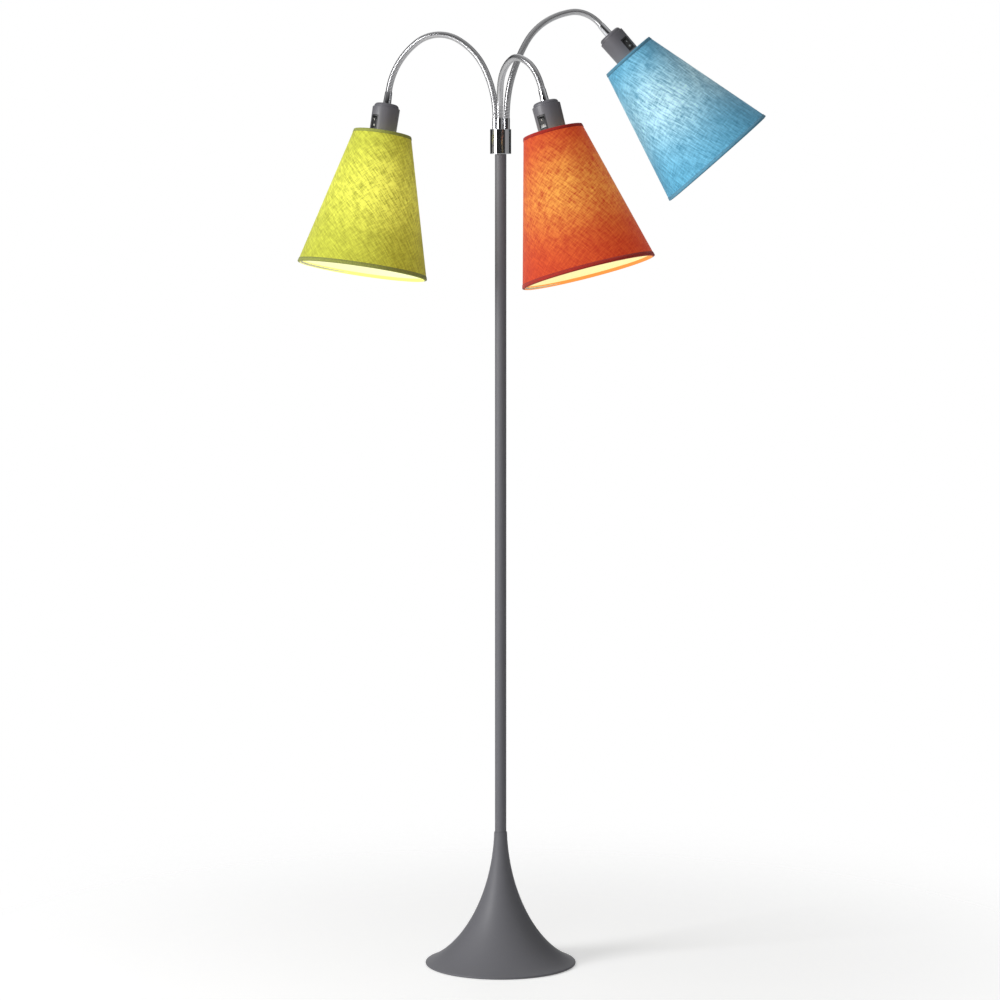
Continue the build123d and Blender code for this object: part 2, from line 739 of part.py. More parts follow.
# ---------------------------------------------------------------- the three arms
for arm, foot in zip(arms, feet):
    lean = radians(arm.lean_angle)
    place = Plane(foot + Vector(0, 0, ferrule_rise), x_dir=(cos(lean), sin(lean), 0),
                  z_dir=(0, 0, 1))
    joints = len(arm.lengths)
    for number, (length, bend, twist) in enumerate(zip(arm.lengths, arm.bends, arm.twists), 1):
        near = slip if number == 1 else bend_gap / 2
        far = tilt_gap / 2 if number == joints else bend_gap / 2
        neck, place = neck_length(turned(place, twist), length, bend, near, far)
        keep(neck, f"{arm.name}_neck_{number}")
    look = Vector(*arm.switch_faces)
    head = Plane(place.origin, x_dir=look - place.z_dir * look.dot(place.z_dir),
                 z_dir=place.z_dir)
    keep(make_upper_ferrule(head), f"{arm.name}_upper_ferrule")
    keep(make_holder_cap(head), f"{arm.name}_holder_cap")
    keep(make_holder_body(head), f"{arm.name}_holder_body")
    keep(make_switch_frame(head), f"{arm.name}_switch_frame")
    keep(make_rocker(head), f"{arm.name}_rocker")
    keep(make_screw_shell(head), f"{arm.name}_screw_shell")
    keep(make_shade_ring(head), f"{arm.name}_shade_ring")
    keep(make_shade_frame(head), f"{arm.name}_shade_frame")
    keep(make_shade(head), f"{arm.name}_shade")
    keep(make_shade_hems(head), f"{arm.name}_shade_hems")
    keep(make_bulb(head), f"{arm.name}_bulb")
    keep(make_bulb_cap(head), f"{arm.name}_bulb_cap")
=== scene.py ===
# %% [markdown]
# # Dressing a tree floor lamp
# The lamp's solids come ready made, in metres, with the floor at z = 0, +X to the right and
# +Y away from the viewer. This lesson gives each of them the finish of the real thing, and
# makes anew what the solids keep plain: the ribbed necks, the linen shades and the turned
# metal. Nothing is moved: each new piece sits where its solid sits, and rides on its body.

import json
from math import acos, atan2, cos, degrees, exp, hypot, pi, radians, sin, sqrt, tan

import bmesh
import bpy
from mathutils import Matrix, Vector
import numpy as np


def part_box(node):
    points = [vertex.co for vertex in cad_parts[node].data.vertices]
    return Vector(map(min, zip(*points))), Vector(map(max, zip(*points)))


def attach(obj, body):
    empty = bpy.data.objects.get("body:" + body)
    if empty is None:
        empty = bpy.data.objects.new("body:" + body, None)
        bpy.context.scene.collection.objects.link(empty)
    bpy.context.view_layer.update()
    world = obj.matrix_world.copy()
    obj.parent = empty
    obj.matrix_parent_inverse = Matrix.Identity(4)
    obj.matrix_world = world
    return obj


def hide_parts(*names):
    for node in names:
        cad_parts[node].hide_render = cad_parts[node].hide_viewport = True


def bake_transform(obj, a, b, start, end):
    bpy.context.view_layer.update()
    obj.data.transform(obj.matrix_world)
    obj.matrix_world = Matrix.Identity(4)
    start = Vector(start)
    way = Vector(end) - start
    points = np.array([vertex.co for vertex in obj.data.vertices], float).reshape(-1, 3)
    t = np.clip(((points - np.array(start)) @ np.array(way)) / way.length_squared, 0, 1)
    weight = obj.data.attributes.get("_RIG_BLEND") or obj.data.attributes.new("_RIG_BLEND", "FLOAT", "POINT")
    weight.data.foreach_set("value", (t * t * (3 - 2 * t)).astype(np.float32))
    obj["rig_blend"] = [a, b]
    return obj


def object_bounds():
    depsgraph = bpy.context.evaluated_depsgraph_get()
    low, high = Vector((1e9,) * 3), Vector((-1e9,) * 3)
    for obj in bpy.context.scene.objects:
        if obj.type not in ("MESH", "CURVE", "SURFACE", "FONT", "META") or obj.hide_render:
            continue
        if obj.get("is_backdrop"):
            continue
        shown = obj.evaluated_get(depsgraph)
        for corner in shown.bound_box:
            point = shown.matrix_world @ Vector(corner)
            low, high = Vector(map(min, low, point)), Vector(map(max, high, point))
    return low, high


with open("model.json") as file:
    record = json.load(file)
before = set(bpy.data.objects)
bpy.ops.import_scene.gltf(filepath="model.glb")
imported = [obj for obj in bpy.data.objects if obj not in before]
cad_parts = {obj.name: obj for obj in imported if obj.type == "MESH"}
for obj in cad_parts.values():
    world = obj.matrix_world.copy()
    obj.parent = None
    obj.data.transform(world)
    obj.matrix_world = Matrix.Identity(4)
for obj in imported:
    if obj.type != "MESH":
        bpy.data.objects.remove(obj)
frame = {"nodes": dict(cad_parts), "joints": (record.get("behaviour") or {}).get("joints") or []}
nodes = frame["nodes"]
joints = {joint["name"]: joint for joint in frame["joints"]}
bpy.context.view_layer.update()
mm = 0.001

# %% [markdown]
# ## Where each head is
# A lampholder and its shade are round about one slanted axis. Three things in the frame
# give it: the tilt joint's point, the middle of the shade's own points, which lies on the
# axis because the shade is round, and the switch's axis, which is square to it.

# %% Measure the three heads
arms = ("left", "front", "right")


def middle(node):
    """The mean of a solid's points."""
    points = [vertex.co for vertex in nodes[node].data.vertices]
    return sum(points, Vector()) / len(points)


class Head:
    """A lampholder's axes: z down its length, x outwards through the switch."""

    def __init__(self, arm):
        self.arm = arm
        self.origin = Vector(joints[f"{arm}_tilt"]["pos_m"])
        self.z = (middle(f"{arm}_shade") - self.origin).normalized()
        across = Vector(joints[f"{arm}_switch"]["axis"])
        self.y = (across - self.z * across.dot(self.z)).normalized()
        self.x = self.y.cross(self.z)
        self.matrix = Matrix.Translation(self.origin) @ Matrix(
            (self.x, self.y, self.z)).transposed().to_4x4()

    def span(self, node):
        """How far down the axis a solid starts and ends, and its least and greatest radius."""
        inverse = self.matrix.inverted()
        local = [inverse @ vertex.co for vertex in nodes[node].data.vertices]
        heights = [point.z for point in local]
        radii = [hypot(point.x, point.y) for point in local]
        return min(heights), max(heights), min(radii), max(radii)


heads = {arm: Head(arm) for arm in arms}
for arm, head in heads.items():
    print(arm, "head leans", round(degrees(acos(-head.z.z)), 1), "degrees from straight down")

# %% [markdown]
# ## Colours
# A colour picker shows sRGB numbers, and Blender's sockets want linear ones, so every
# colour in this lesson goes through one small helper.


# %% Colour helper
def srgb(red, green, blue):
    """A linear colour from the 0 to 255 numbers that a picker shows."""
    def linear(value):
        value /= 255
        return value / 12.92 if value <= 0.04045 else ((value + 0.055) / 1.055) ** 2.4
    return linear(red), linear(green), linear(blue), 1.0


def tint(colour, share):
    """A colour made lighter or darker by a share."""
    return tuple(min(1.0, part * share) for part in colour[:3]) + (1.0,)


white, black = (1, 1, 1, 1), (0, 0, 0, 1)
print("a picker's 128 is", round(srgb(128, 128, 128)[0], 3), "in linear light")

# %% [markdown]
# ## Materials from nodes
# Materials, the ribbed necks and the room are all trees of nodes. Wiring them by hand takes
# three lines a node, so one helper adds a node, sets it and links its inputs.


# %% Node helper
class Wiring:
    """Adds nodes to a tree and joins them up."""

    def __init__(self, tree):
        self.tree = tree

    def node(self, kind, settings=None, **inputs):
        """A new node, with settings on it, and values or outputs put into its inputs."""
        made = self.tree.nodes.new(kind)
        for key, value in (settings or {}).items():
            setattr(made, key, value)
        for key, value in inputs.items():
            numbered = key[0] == "i" and key[1:].isdigit()
            socket = made.inputs[int(key[1:]) if numbered else key.replace("_", " ")]
            if isinstance(value, bpy.types.NodeSocket):
                self.tree.links.new(value, socket)
            else:
                socket.default_value = value
        return made

    def remap(self, value, **limits):
        """A number carried from one range to another."""
        return self.node("ShaderNodeMapRange", Value=value, **limits).outputs[0]

    def mix(self, factor, first, second):
        """One colour or the other."""
        return self.node("ShaderNodeMix", {"data_type": "RGBA"}, Factor=factor,
                         i6=first, i7=second).outputs[2]

    def math(self, operation, first, second=0.0):
        """One sum on two numbers."""
        return self.node("ShaderNodeMath", {"operation": operation},
                         i0=first, i1=second).outputs[0]


# %% [markdown]
# Every finish is one Principled shader with a little procedural detail in front of it. This
# helper starts a material, makes the noise that the detail is drawn from, and feeds it to
# the shader as a colour, a roughness or a bump.


# %% Finish helper
class Finish(Wiring):
    """A material in the making."""

    def __init__(self, name, colour, roughness=0.5, metallic=0.0, **sockets):
        self.material = bpy.data.materials.new(name)
        self.material.use_nodes = True
        super().__init__(self.material.node_tree)
        self.shader = self.tree.nodes["Principled BSDF"]
        self.shader.inputs["Base Color"].default_value = colour
        self.shader.inputs["Roughness"].default_value = roughness
        self.shader.inputs["Metallic"].default_value = metallic
        for socket, value in sockets.items():
            self.shader.inputs[socket.replace("_", " ")].default_value = value

    def link(self, output, socket):
        """Feed one of the shader's own sockets."""
        self.tree.links.new(output, self.shader.inputs[socket])

    def place(self):
        """Where a point lies on the lamp, in metres."""
        return self.node("ShaderNodeTexCoord").outputs["Object"]

    def glow(self):
        """The light that reaches a point of a shade, kept on the mesh."""
        return self.node("ShaderNodeAttribute", {"attribute_name": "glow"}).outputs["Fac"]

    def noise(self, size, detail=2.0, where=None, stretch=None):
        """Noise whose blotches are about size metres, stretched along some axes."""
        where = where or self.place()
        if stretch:
            where = self.node("ShaderNodeMapping", Vector=where, Scale=stretch).outputs["Vector"]
        return self.node("ShaderNodeTexNoise", Vector=where, Scale=1 / size,
                         Detail=detail).outputs["Fac"]

    def between(self, factor, low, high):
        """A number that runs from low to high as factor runs from 0 to 1."""
        return self.remap(factor, To_Min=low, To_Max=high)

    def sharp(self, factor, low, high):
        """Stretch the middle of a noise, so that low becomes 0 and high becomes 1."""
        return self.remap(factor, From_Min=low, From_Max=high)

    def bump(self, height, depth, strength=1.0):
        """Bend the light as if the surface rose by depth metres where height is 1."""
        made = self.node("ShaderNodeBump", Height=height, Distance=depth, Strength=strength)
        self.link(made.outputs["Normal"], "Normal")


# %% [markdown]
# ## Hard finishes
# The foot and pole are powder coated: a soft grey with the faint orange peel that the
# powder leaves when it melts. Chrome is a mirror with a trace of wiping marks, so its
# roughness wanders a little. Moulded plastic has a fine spark-eroded grain.


# %% Metal and paint
def powder_coat(name, colour):
    """Baked powder paint: satin, with orange peel and a faint speckle."""
    made = Finish(name, colour, roughness=0.5, Specular_IOR_Level=0.4)
    peel = made.noise(1.4 * mm, detail=3)
    speckle = made.noise(0.5 * mm, detail=1)
    made.link(made.mix(made.between(speckle, -0.6, 1.6), tint(colour, 0.93), tint(colour, 1.07)),
              "Base Color")
    made.link(made.between(made.noise(60 * mm), 0.44, 0.58), "Roughness")
    made.bump(peel, 0.06 * mm, 0.6)
    return made.material


def plated(name, colour, roughness, haze):
    """Polished plate, with faint wiping marks that change how sharp it mirrors."""
    made = Finish(name, colour, roughness=roughness, metallic=1.0)
    wiped = made.noise(6 * mm, detail=4, stretch=(1, 1, 0.25))
    made.link(made.between(wiped, roughness, roughness + haze), "Roughness")
    made.bump(made.noise(0.8 * mm), 0.004 * mm, 0.4)
    return made.material


def moulded(name, colour, roughness, coat=0.0):
    """Moulded plastic: an even colour with a fine grain."""
    made = Finish(name, colour, roughness=roughness, Coat_Weight=coat, Coat_Roughness=0.12)
    fine = made.noise(0.35 * mm, detail=2)
    made.link(made.mix(made.noise(25 * mm), tint(colour, 0.94), tint(colour, 1.06)), "Base Color")
    made.link(made.between(fine, roughness - 0.06, roughness + 0.06), "Roughness")
    made.bump(fine, 0.02 * mm, 0.5)
    return made.material


def raw_metal(name, colour, roughness, metallic=1.0, pit=0.6):
    """Unpainted metal: cast, turned or drawn, with blotches of wear."""
    made = Finish(name, colour, roughness=roughness, metallic=metallic)
    worn = made.noise(9 * mm, detail=5)
    made.link(made.mix(worn, tint(colour, 0.8), tint(colour, 1.15)), "Base Color")
    made.link(made.between(worn, roughness - 0.08, roughness + 0.12), "Roughness")
    made.bump(made.noise(pit * mm, detail=3), 0.03 * mm, 0.5)
    return made.material


def napped(name, colour, pile):
    """Felt or rubber: matt, with a soft random surface."""
    made = Finish(name, colour, roughness=0.9, Sheen_Weight=0.2)
    fuzz = made.noise(pile * mm, detail=5)
    made.link(made.mix(fuzz, tint(colour, 0.7), tint(colour, 1.3)), "Base Color")
    made.bump(fuzz, 0.15 * mm, 0.7)
    return made.material


grey_paint = powder_coat("Grey powder coat", srgb(110, 110, 115))
chrome = plated("Chrome plate", srgb(205, 206, 209), 0.06, 0.05)
neck_metal = plated("Gooseneck steel", srgb(186, 186, 188), 0.15, 0.06)
grey_plastic = moulded("Grey lampholder plastic", srgb(106, 105, 111), 0.42)
black_plastic = moulded("Black switch plastic", srgb(22, 22, 24), 0.3, coat=0.3)
black_frame = moulded("Black frame plastic", srgb(30, 30, 32), 0.48)
white_mark = moulded("White printing", srgb(235, 235, 232), 0.5)
steel = raw_metal("Zinc plated steel", srgb(170, 172, 176), 0.35)
iron = raw_metal("Cast iron", srgb(58, 58, 60), 0.65, metallic=0.6, pit=1.2)
brass = raw_metal("Brass", srgb(196, 160, 88), 0.28)
aluminium = raw_metal("Drawn aluminium", srgb(205, 206, 208), 0.3)
felt = napped("Felt", srgb(46, 46, 50), 0.5)
rubber = napped("Black rubber", srgb(28, 28, 29), 0.3)
white_wire = powder_coat("White wire coat", srgb(232, 230, 222))
print(len(bpy.data.materials), "hard finishes")

# %% [markdown]
# ## Turned pieces
# Most of the hard parts are round: foot, pole, collar, ferrules and lampholders. Each is
# one closed profile swept round an axis, like work on a lathe. The profile's points are
# (radius, height) pairs, and a bevel then breaks every hard corner, because light catches
# a real edge and a perfectly sharp one looks like paper.


# %% Lathe helper
def new_piece(name, mesh):
    """An object in the scene with a bmesh's faces."""
    data = bpy.data.meshes.new(name)
    mesh.to_mesh(data)
    mesh.free()
    piece = bpy.data.objects.new(name, data)
    bpy.context.scene.collection.objects.link(piece)
    return piece


def lathe(name, profile, matrix=Matrix(), steps=96):
    """Sweep a profile of (radius, height) points round the Z axis of a matrix."""
    mesh = bmesh.new()
    rings = []
    for radius, height in profile:
        if radius < 1e-7:
            rings.append([mesh.verts.new((0, 0, height))])
        else:
            rings.append([mesh.verts.new((radius * cos(2 * pi * k / steps),
                                          radius * sin(2 * pi * k / steps), height))
                          for k in range(steps)])
    for lower, upper in zip(rings, rings[1:] + rings[:1]):
        if len(lower) == len(upper) == 1:
            continue
        for k in range(steps):
            ring = [lower[k % len(lower)], lower[(k + 1) % len(lower)],
                    upper[(k + 1) % len(upper)], upper[k % len(upper)]]
            corners = list(dict.fromkeys(ring))
            mesh.faces.new(corners)
    bmesh.ops.recalc_face_normals(mesh, faces=mesh.faces)
    mesh.transform(matrix)
    piece = new_piece(name, mesh)
    piece.data.shade_smooth()
    return piece


def soften(piece, width=0.4 * mm, rounds=2):
    """Break the hard corners, as a mould or a polishing wheel does."""
    bevel = piece.modifiers.new("Edges", "BEVEL")
    bevel.width, bevel.segments = width, rounds
    bevel.limit_method, bevel.angle_limit = "ANGLE", radians(28)
    bevel.harden_normals = True
    return piece


def shape_now(piece):
    """A mesh of the shape that a piece's modifiers make of it."""
    bpy.context.view_layer.update()
    graph = bpy.context.evaluated_depsgraph_get()
    return bpy.data.meshes.new_from_object(piece.evaluated_get(graph), depsgraph=graph)


def paint(piece, material):
    """Give a piece one finish all over."""
    piece.data.materials.clear()
    piece.data.materials.append(material)


def finish_piece(piece, material, body, *solids):
    """Give a piece its material and body, and let it stand for its solids."""
    paint(piece, material)
    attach(piece, body)
    if solids:
        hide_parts(*solids)
    return piece


# %% [markdown]
# ## Foot and pole
# The foot is spun sheet: a trumpet whose side leaves the pole almost upright and flattens
# towards a rolled rim. One Bezier curve with two handles says it all: the handle at the
# neck keeps the side straight for a while, and the one at the rim sets its slope.

# %% Foot
stand = "stand"
foot_low, foot_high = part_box("base_shell")
rim_radius = foot_high.x
rim_lift, foot_height = foot_low.z, foot_high.z
neck_radius = 10.2 * mm
rim_roll = 1.8 * mm
neck_lean, rim_fall = radians(1.9), radians(21.5)
neck_pull, rim_pull = 104 * mm, 60.4 * mm
sheet_wall = 1.5 * mm
side_steps, roll_steps = 60, 10
pole_gap, plain_bore = 0.05 * mm, 25 * mm


def bezier(points, count):
    """Points along a cubic Bezier curve."""
    a, b, c, d = (Vector(point) for point in points)
    for k in range(count + 1):
        t = k / count
        s = 1 - t
        yield tuple(a * s ** 3 + 3 * b * t * s ** 2 + 3 * c * t * t * s + d * t ** 3)


def foot_side(inset):
    """The trumpet's side from neck to rim, moved inwards by inset."""
    reach = rim_roll - inset
    rim = (rim_radius - rim_roll + reach * sin(rim_fall),
           rim_lift + rim_roll + reach * cos(rim_fall))
    neck = (neck_radius - inset, foot_height)
    neck_handle = (neck[0] + neck_pull * sin(neck_lean), neck[1] - neck_pull * cos(neck_lean))
    rim_handle = (rim[0] - rim_pull * cos(rim_fall), rim[1] + rim_pull * sin(rim_fall))
    return list(bezier((neck, neck_handle, rim_handle, rim), side_steps))


pole_low, pole_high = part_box("pole")
pole_radius = pole_high.x
roll = [(rim_radius - rim_roll + rim_roll * cos(a), rim_lift + rim_roll + rim_roll * sin(a))
        for a in (radians(90 - rim_fall) - k * radians(180) / roll_steps
                  for k in range(1, roll_steps + 1))]
inside = [point for point in foot_side(sheet_wall) if point[1] < foot_height - plain_bore]
foot_bore = pole_radius + pole_gap
foot_profile = ([(foot_bore, foot_height)] + foot_side(0) + roll + inside[::-1]
                + [(foot_bore, inside[0][1])])
foot = soften(lathe("foot", foot_profile, steps=160), 0.35 * mm)
finish_piece(foot, grey_paint, stand, "base_shell")
print("foot", round(2 * rim_radius / mm), "mm across and", round(foot_height / mm), "mm high")

# %% [markdown]
# The pole is a plain drawn tube. It only needs enough sides to look round, and its ends
# are hidden in the foot and the collar.

# %% Pole
pole_wall = 1.2 * mm
pole = soften(lathe("pole_tube", [(pole_radius, pole_low.z), (pole_radius, pole_high.z),
                                  (pole_radius - pole_wall, pole_high.z),
                                  (pole_radius - pole_wall, pole_low.z)]), 0.3 * mm)
finish_piece(pole, grey_paint, stand, "pole")
print("pole", round(2 * pole_radius / mm, 1), "mm thick")

# %% [markdown]
# ## Collar and ferrules
# The chrome collar caps the pole, and three short chrome tubes rise from it to hold the
# necks. Chrome shows every facet, so these are turned with many sides.

# %% Collar
collar_low, collar_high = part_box("collar")
collar_radius = collar_high.x
collar_wall, top_plate = 1.35 * mm, 8 * mm
collar = lathe("collar_shell", [
    (collar_radius, collar_low.z), (collar_radius, collar_high.z), (0, collar_high.z),
    (0, collar_high.z - top_plate), (collar_radius - collar_wall, collar_high.z - top_plate),
    (collar_radius - collar_wall, collar_low.z)], steps=128)
finish_piece(soften(collar, 0.6 * mm, 3), chrome, stand, "collar")
print("collar", round(2 * collar_radius / mm), "by",
      round((collar_high.z - collar_low.z) / mm, 1), "mm")

# %% Lower ferrules
ferrule_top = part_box("lower_ferrules")[1].z
ferrule_radius, spigot_bore = 5.3 * mm, 3.65 * mm
tubes = bmesh.new()
for arm in arms:
    foot_of_arm = Vector(joints[f"{arm}_turn"]["pos_m"])
    tube = lathe("tube", [(ferrule_radius, collar_high.z), (ferrule_radius, ferrule_top),
                          (spigot_bore, ferrule_top), (spigot_bore, collar_high.z)],
                 Matrix.Translation((foot_of_arm.x, foot_of_arm.y, 0)), steps=64)
    tubes.from_mesh(tube.data)
    bpy.data.objects.remove(tube)
ferrules = new_piece("neck_ferrules", tubes)
ferrules.data.shade_smooth()
finish_piece(soften(ferrules, 0.4 * mm, 3), chrome, stand, "lower_ferrules")
print("ferrules rise", round((ferrule_top - collar_high.z) / mm, 1), "mm")

# %% [markdown]
# ## Following a neck
# Each flexible neck is four arcs, end to end. An arc is settled by its two ends and the way
# it sets off, and the way it arrives is the way it set off, mirrored in the straight line
# between the ends. So the joints' points and one first direction, straight up, give the
# whole centre line.


# %% Centre line
arc_steps = 48
neck_tail = 1.5 * mm


def arc_points(start, heading, end, count):
    """Points on the arc that leaves start along heading and reaches end, and how it arrives."""
    chord = end - start
    half = heading.angle(chord)
    across = (chord - heading * chord.dot(heading)).normalized()
    radius = chord.length / (2 * sin(half))
    points = [start + heading * radius * sin(a) + across * radius * (1 - cos(a))
              for a in (2 * half * k / count for k in range(count + 1))]
    arrival = heading * cos(2 * half) + across * sin(2 * half)
    return points, arrival, 2 * half * radius


class Neck:
    """An arm's centre line: its points, and how far along it each hinge is."""

    def __init__(self, arm):
        names = ("turn", "bend", "bend_2", "bend_3", "tilt")
        stops = [Vector(joints[f"{arm}_{name}"]["pos_m"]) for name in names]
        heading, self.points, self.hinges = Vector((0, 0, 1)), [stops[0]], [0.0]
        self.middles = []
        for start, end in zip(stops, stops[1:]):
            points, heading, length = arc_points(start, heading, end, arc_steps)
            self.middles.append((self.hinges[-1] + length / 2, points[arc_steps // 2]))
            self.points += points[1:]
            self.hinges.append(self.hinges[-1] + length)
        self.points.append(stops[-1] + heading * neck_tail)
        self.length = self.hinges[-1] + neck_tail


necks = {arm: Neck(arm) for arm in arms}
for arm, neck in necks.items():
    print(arm, "neck is", round(neck.length / mm), "mm long")

# %% [markdown]
# ## Ribbed necks with Geometry Nodes
# A gooseneck is a tight coil of steel, so its surface is one long helical rib. A node tree
# does this well: it sweeps a circle along the line, then pushes each point outwards by a
# wave that runs along the neck and once round it for each rib. The sizes are inputs.


# %% Gooseneck tree
def gooseneck_tree():
    """Curve in, ribbed tube out, with an attribute that says how far along a point is."""
    tree = bpy.data.node_groups.new("Gooseneck", "GeometryNodeTree")
    face = tree.interface
    face.new_socket("Geometry", in_out="INPUT", socket_type="NodeSocketGeometry")
    for name, value in (("Valley radius", 4.72 * mm), ("Rib height", 0.38 * mm),
                        ("Pitch", 2.3 * mm)):
        face.new_socket(name, in_out="INPUT", socket_type="NodeSocketFloat").default_value = value
    face.new_socket("Material", in_out="INPUT", socket_type="NodeSocketMaterial")
    face.new_socket("Geometry", in_out="OUTPUT", socket_type="NodeSocketGeometry")
    wires = Wiring(tree)

    def node(kind, settings=None, **inputs):
        return wires.node("GeometryNode" + kind, settings, **inputs)

    def vector(operation, first, **inputs):
        return wires.node("ShaderNodeVectorMath", {"operation": operation}, i0=first,
                          **inputs).outputs[0]

    given = tree.nodes.new("NodeGroupInput").outputs
    step = wires.math("DIVIDE", given["Pitch"], 8.0)
    line = node("ResampleCurve", {"mode": "LENGTH"}, Curve=given["Geometry"], Length=step)
    along = node("SplineParameter").outputs["Length"]
    kept = node("StoreNamedAttribute", {"data_type": "FLOAT", "domain": "POINT"},
                Geometry=line.outputs[0], Name="along", Value=along)
    centre = node("StoreNamedAttribute", {"data_type": "FLOAT_VECTOR", "domain": "POINT"},
                  Geometry=kept.outputs[0], Name="centre", Value=node("InputPosition").outputs[0])
    circle = node("CurvePrimitiveCircle", Resolution=24, Radius=given["Valley radius"])
    profile = node("StoreNamedAttribute", {"data_type": "FLOAT", "domain": "POINT"},
                   Geometry=circle.outputs[0], Name="round",
                   Value=node("SplineParameter").outputs["Factor"])
    tube = node("CurveToMesh", Curve=centre.outputs[0], Profile_Curve=profile.outputs[0],
                Fill_Caps=True)
    read = {name: node("InputNamedAttribute", {"data_type": kind}, Name=name).outputs[0]
            for name, kind in (("along", "FLOAT"), ("round", "FLOAT"), ("centre", "FLOAT_VECTOR"))}
    turns = wires.math("ADD", wires.math("DIVIDE", read["along"], given["Pitch"]), read["round"])
    wave = wires.math("ABSOLUTE", wires.math("SINE", wires.math("MULTIPLY", turns, pi)))
    outwards = vector("NORMALIZE", vector("SUBTRACT", node("InputPosition").outputs[0],
                                          i1=read["centre"]))
    lift = vector("SCALE", outwards, Scale=wires.math("MULTIPLY", wave, given["Rib height"]))
    ribbed = node("SetPosition", Geometry=tube.outputs[0], Offset=lift)
    smooth = node("SetShadeSmooth", Geometry=ribbed.outputs[0])
    solid = node("RealizeInstances", Geometry=smooth.outputs[0])
    coloured = node("SetMaterial", Geometry=solid.outputs[0], Material=given["Material"])
    tree.links.new(coloured.outputs[0], tree.nodes.new("NodeGroupOutput").inputs[0])
    return tree


gooseneck = gooseneck_tree()
print("the gooseneck tree has", len(gooseneck.nodes), "nodes")


def set_inputs(modifier, **values):
    """Set a Geometry Nodes modifier's inputs by the names that the tree gives them."""
    for item in modifier.node_group.interface.items_tree:
        key = item.name.replace(" ", "_")
        if item.in_out == "INPUT" and key in values:
            modifier[item.identifier] = values[key]


# %% [markdown]
# The tube is made in one go, so that the helix never jumps, and then cut into four pieces
# at the middles of the lengths. Each piece bends across the one hinge inside it.

# %% Make and cut the necks
def plain_line(name, points):
    """A curve object with one straight-sided spline."""
    curve = bpy.data.curves.new(name, "CURVE")
    curve.dimensions = "3D"
    spline = curve.splines.new("POLY")
    spline.points.add(len(points) - 1)
    for slot, point in zip(spline.points, points):
        slot.co = (*point, 1)
    line = bpy.data.objects.new(name, curve)
    bpy.context.scene.collection.objects.link(line)
    return line


def cut(whole, name, first, last):
    """The faces of a mesh whose distance along the neck is between first and last."""
    mesh = bmesh.new()
    mesh.from_mesh(whole)
    along = mesh.verts.layers.float["along"]
    outside = [face for face in mesh.faces
               if not first <= sum(v[along] for v in face.verts) / len(face.verts) < last]
    bmesh.ops.delete(mesh, geom=outside, context="FACES")
    piece = new_piece(name, mesh)
    for layer in ("along", "round", "centre"):
        piece.data.attributes.remove(piece.data.attributes[layer])
    piece.data.shade_smooth()
    return piece


for arm, neck in necks.items():
    line = plain_line(f"{arm}_line", neck.points)
    modifier = line.modifiers.new("Ribs", "NODES")
    modifier.node_group = gooseneck
    set_inputs(modifier, Material=neck_metal)
    whole = shape_now(line)
    bpy.data.objects.remove(line)
    cuts = [-1.0] + [distance for distance, _ in neck.middles[1:]] + [neck.length + 1.0]
    bodies = [f"{arm}_neck_{k}_body" for k in range(1, 5)] + [f"{arm}_head"]
    for k in range(4):
        piece = cut(whole, f"{arm}_gooseneck_{k + 1}", cuts[k], cuts[k + 1])
        paint(piece, neck_metal)
        start = neck.middles[k][1]
        end = neck.middles[k + 1][1] if k < 3 else neck.points[-2]
        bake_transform(piece, bodies[k], bodies[k + 1], start, end)
        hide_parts(f"{arm}_neck_{k + 1}")
    print(arm, "gooseneck has", len(whole.polygons), "faces")

# %% [markdown]
# ## Lampholders
# The lampholder is a moulded cap with a rounded shoulder over a slightly tapered housing.
# A chrome sleeve joins it to the neck. These are turned too, along each head's own axis,
# and the switch's window is then cut through the housing with a boolean.


# %% Lampholder shapes
def round_corner(across, along, radius, first, last, steps=8):
    """Points on an arc about (across, along), from one angle to another in degrees."""
    return [(across + radius * cos(a), along + radius * sin(a))
            for a in (radians(first + (last - first) * k / steps) for k in range(steps + 1))]


